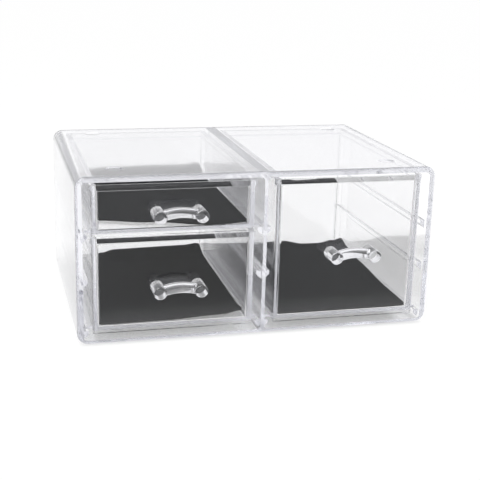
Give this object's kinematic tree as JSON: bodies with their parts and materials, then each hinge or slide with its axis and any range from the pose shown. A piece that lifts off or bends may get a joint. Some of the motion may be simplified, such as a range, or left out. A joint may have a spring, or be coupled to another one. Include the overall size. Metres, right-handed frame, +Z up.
{
  "type": "desk organizer with drawers",
  "caption": "Clear box organizer with a centre partition: shallow and deep drawers stacked on the left, a full-height drawer on the right, each with a bow handle and a dark liner.",
  "frame": {"origin": "centre of the footprint, handles included, on the surface that the feet stand on", "axes": "+X to the right along the front, +Y to the back, +Z up; the drawers open towards -Y"},
  "size_m": [0.238, 0.1776, 0.11],
  "materials": {
    "clear_case": "clear polished styrene",
    "clear_drawer": "clear polished styrene",
    "clear_handle": "clear polished styrene",
    "clear_foot": "soft translucent elastomer",
    "charcoal_liner": "matt felted mat"
  },
  "bodies": {
    "case_body": {"case": "clear_case", "foot_front_left": "clear_foot", "foot_front_right": "clear_foot", "foot_rear_left": "clear_foot", "foot_rear_right": "clear_foot"},
    "top_left_drawer": {"drawer_top_left": "clear_drawer", "handle_top_left": "clear_handle", "liner_top_left": "charcoal_liner"},
    "lower_left_drawer": {"drawer_lower_left": "clear_drawer", "handle_lower_left": "clear_handle", "liner_lower_left": "charcoal_liner"},
    "right_drawer": {"drawer_right": "clear_drawer", "handle_right": "clear_handle", "liner_right": "charcoal_liner"}
  },
  "joints": [
    {"name": "top_left_slide", "type": "slide", "parent": "case_body", "child": "top_left_drawer", "axis": [0, -1, 0], "range_m": [0, 0.138]},
    {"name": "lower_left_slide", "type": "slide", "parent": "case_body", "child": "lower_left_drawer", "axis": [0, -1, 0], "range_m": [0, 0.138]},
    {"name": "right_slide", "type": "slide", "parent": "case_body", "child": "right_drawer", "axis": [0, -1, 0], "range_m": [0, 0.138]}
  ]
}
